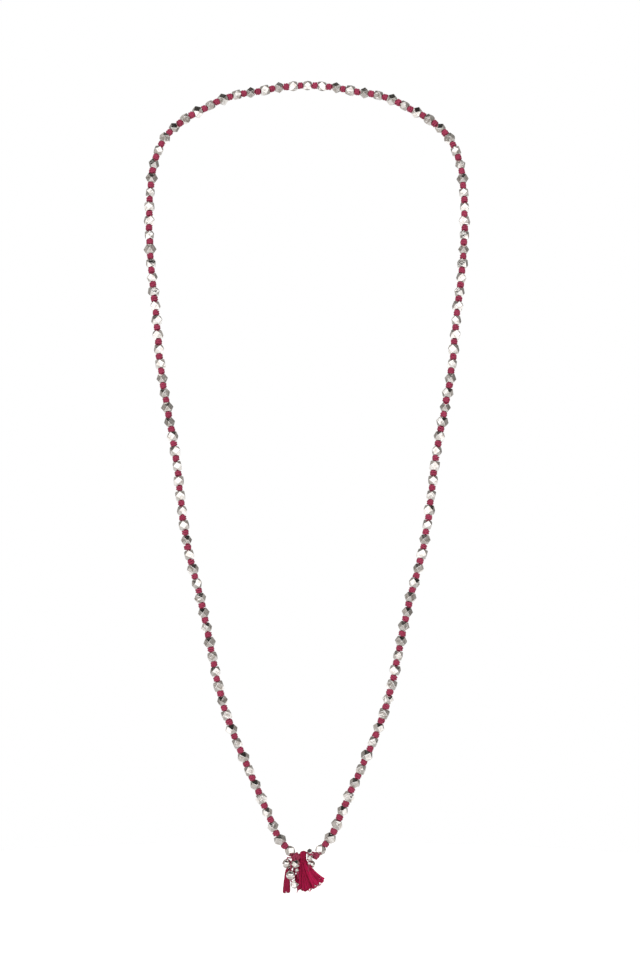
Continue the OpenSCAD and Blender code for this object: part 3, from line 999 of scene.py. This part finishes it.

# %% [markdown]
# Most threads keep together in locks, and all of a lock share its tone. A few loops hang open along the
# flared side, and a few shorter threads stray to the left, behind the silver drops, in a darker tone
# that is painted shade.

# %% Skirt of the main tassel
OPEN_LOOPS = 7
STRAYS_IN_PAINTED_SHADE = 12
LOCKS = 30
YARNS_IN_LOCK = 4
tassel_mesh = Gathered()
for loop in range(OPEN_LOOPS):
    angle = 0.24 + 0.5 * (loop + rng.uniform(0, 0.5)) / OPEN_LOOPS
    depth = rng.uniform(-1.2, 1.2)
    reach = skirt_reach(angle) - rng.uniform(0.2, 0.6)
    other = angle - rng.uniform(0.09, 0.13)
    line = hairpin(fan_point, (angle, depth, reach), (other, depth, reach - 0.2), loop=1.2, stray=0.15)
    add_yarn(tassel_mesh, line, rng.uniform(0.2, 0.9))
for _ in range(STRAYS_IN_PAINTED_SHADE):
    angle = math.radians(rng.uniform(-21, -11))
    depth = rng.uniform(-0.6, 1.6)
    reach = rng.uniform(9.5, 14)
    other = angle + rng.uniform(0.02, 0.07)
    line = hairpin(fan_point, (angle, depth, reach), (other, depth, reach), loop=0.5, stray=0.25)
    # A lower tone than the locks: painted shade behind the silver drops
    add_yarn(tassel_mesh, line, rng.uniform(-0.1, 0.6))
for lock in range(LOCKS):
    lock_share = (lock + rng.uniform(0.2, 0.8)) / LOCKS
    lock_depth = rng.uniform(-1.4, 1.4)
    lock_tone = rng.uniform(0.1, 0.9)
    lock_cut = rng.uniform(0, 1.3)
    for _ in range(YARNS_IN_LOCK):
        angle = FAN_FROM + (FAN_TO - FAN_FROM) * lock_share + rng.normal(0, 0.016)
        opening = rng.uniform(0.02, 0.05) + (0.06 * rng.uniform(0, 1) if angle > 0.2 else 0)
        depth = lock_depth + rng.normal(0, 0.22)
        reach = skirt_reach(angle) - lock_cut - rng.uniform(0.4, 0.9)
        other = min(max(angle + rng.choice([-1, 1]) * opening, FAN_FROM), FAN_TO)
        back = other, depth + rng.normal(0, 0.3), reach - rng.uniform(0, 0.4)
        turn_back = rng.uniform(0.4, 0.9)
        line = hairpin(fan_point, (angle, depth, reach), back, turn_back, stray=0.1 + 0.1 * lock_share)
        add_yarn(tassel_mesh, line, lock_tone + rng.normal(0, 0.1))
print("skirt threads:", OPEN_LOOPS + STRAYS_IN_PAINTED_SHADE + LOCKS * YARNS_IN_LOCK)

# %% [markdown]
# The head is the fold itself: threads that come up from the binding in front, lie over the cord and go
# down behind. A few turns of thread bind them.

# %% Head and binding
HEAD_TOP = np.array([-0.6, -55.0, -393.2])
HEAD_ARCS = 54
HEAD_HALF = 1.55
HEAD_ROUND = 1.75
for _ in range(HEAD_ARCS):
    out = rng.uniform(0.85, 1.3)
    x = HEAD_HALF * rng.uniform(-1, 1)
    out *= math.sqrt(1 - (x / HEAD_ROUND) ** 2)
    turn = np.linspace(0, np.pi, 13)
    arc = HEAD_TOP + np.stack([np.full(13, x * 0.9), -out * np.cos(turn), out * np.sin(turn)], 1)
    front = SKIRT_TOP + [x * 0.95, -out, 0]
    back = SKIRT_TOP + [x * 0.95, out, 0]
    line = wavy(np.vstack([front, (front + arc[0]) / 2, arc, (back + arc[-1]) / 2, back]), 0.07)
    add_yarn(tassel_mesh, line, rng.uniform(0.0, 0.6), 1.1 * YARN_R)
binding = bound_round(SKIRT_TOP + [0, 0, 0.45], half_width=1.62, half_depth=1.42, turns=3.4,
                      drop=1.175, steps=90)
add_yarn(tassel_mesh, binding, 0.35)
tassel_mesh.piece("fanned_tassel", tassel_cotton, "tassel_thread", "tassel_main")

# %% [markdown]
# The slim tassel hangs straight under the upper ball. Its threads start in a small round head and
# spread a little towards the foot.

# %% Slim tassel
SIDE_LENGTH = 11.3
FOOT_HALF_WIDTH = 1.8
FOOT_HALF_DEPTH = 1.35
SIDE_SHIFT = -0.4
SLIM_LOCKS = 14
# The locks go round more than once, so that the last ones lie between the first
LOCK_ROUNDS = 1.618
SLIM_ARCS = 26
SLIM_HEAD_R = 0.9


def slim_point(angle, out, reach, share):
    """A point of the slim tassel's skirt."""
    size = 0.55 + 0.45 * share ** 0.6
    return SIDE_TOP + np.array([FOOT_HALF_WIDTH * out * size * math.cos(angle) + SIDE_SHIFT * share,
                                FOOT_HALF_DEPTH * out * size * math.sin(angle), -0.3 - reach * share])


slim_mesh = Gathered()
for lock in range(SLIM_LOCKS):
    lock_angle = 2 * np.pi * (lock + rng.uniform(0, 1)) / SLIM_LOCKS * LOCK_ROUNDS
    lock_out = math.sqrt(rng.uniform(0.15, 0.9))
    lock_tone = rng.uniform(0.1, 0.9)
    lock_cut = rng.uniform(0, 1.1)
    for _ in range(YARNS_IN_LOCK):
        angle = lock_angle + rng.normal(0, 0.25)
        out = min(1.0, lock_out + rng.normal(0, 0.1))
        reach = SIDE_LENGTH - 0.5 - lock_cut - rng.uniform(0, 0.4)
        back = angle + rng.uniform(-0.5, 0.5), out, reach
        line = hairpin(slim_point, (angle, out, reach), back, rng.uniform(0.25, 0.5), stray=0.1)
        add_yarn(slim_mesh, line, lock_tone + rng.normal(0, 0.1))
for _ in range(SLIM_ARCS):
    angle = rng.uniform(0, 2 * np.pi)
    out = rng.uniform(0.55, 1.0)
    turn = np.linspace(0, np.pi, 9)
    flat = np.array([math.cos(angle), math.sin(angle), 0])
    arc = SIDE_TOP + SLIM_HEAD_R * out * np.outer(np.cos(turn), flat)
    arc += np.outer(np.sin(turn), [0, 0, 0.75 * out])
    foot = arc[[0, -1]] - [0, 0, 1.3]
    add_yarn(slim_mesh, np.vstack([foot[0], arc, foot[1]]), rng.uniform(0.2, 0.8))
binding = bound_round(SIDE_TOP - [0, 0, 0.75], half_width=1.02, half_depth=1.02, turns=3,
                      drop=1.131, steps=70)
add_yarn(slim_mesh, binding, 0.35)
slim_mesh.piece("slim_tassel", slim_cotton, "tassel_thread", "tassel_side")
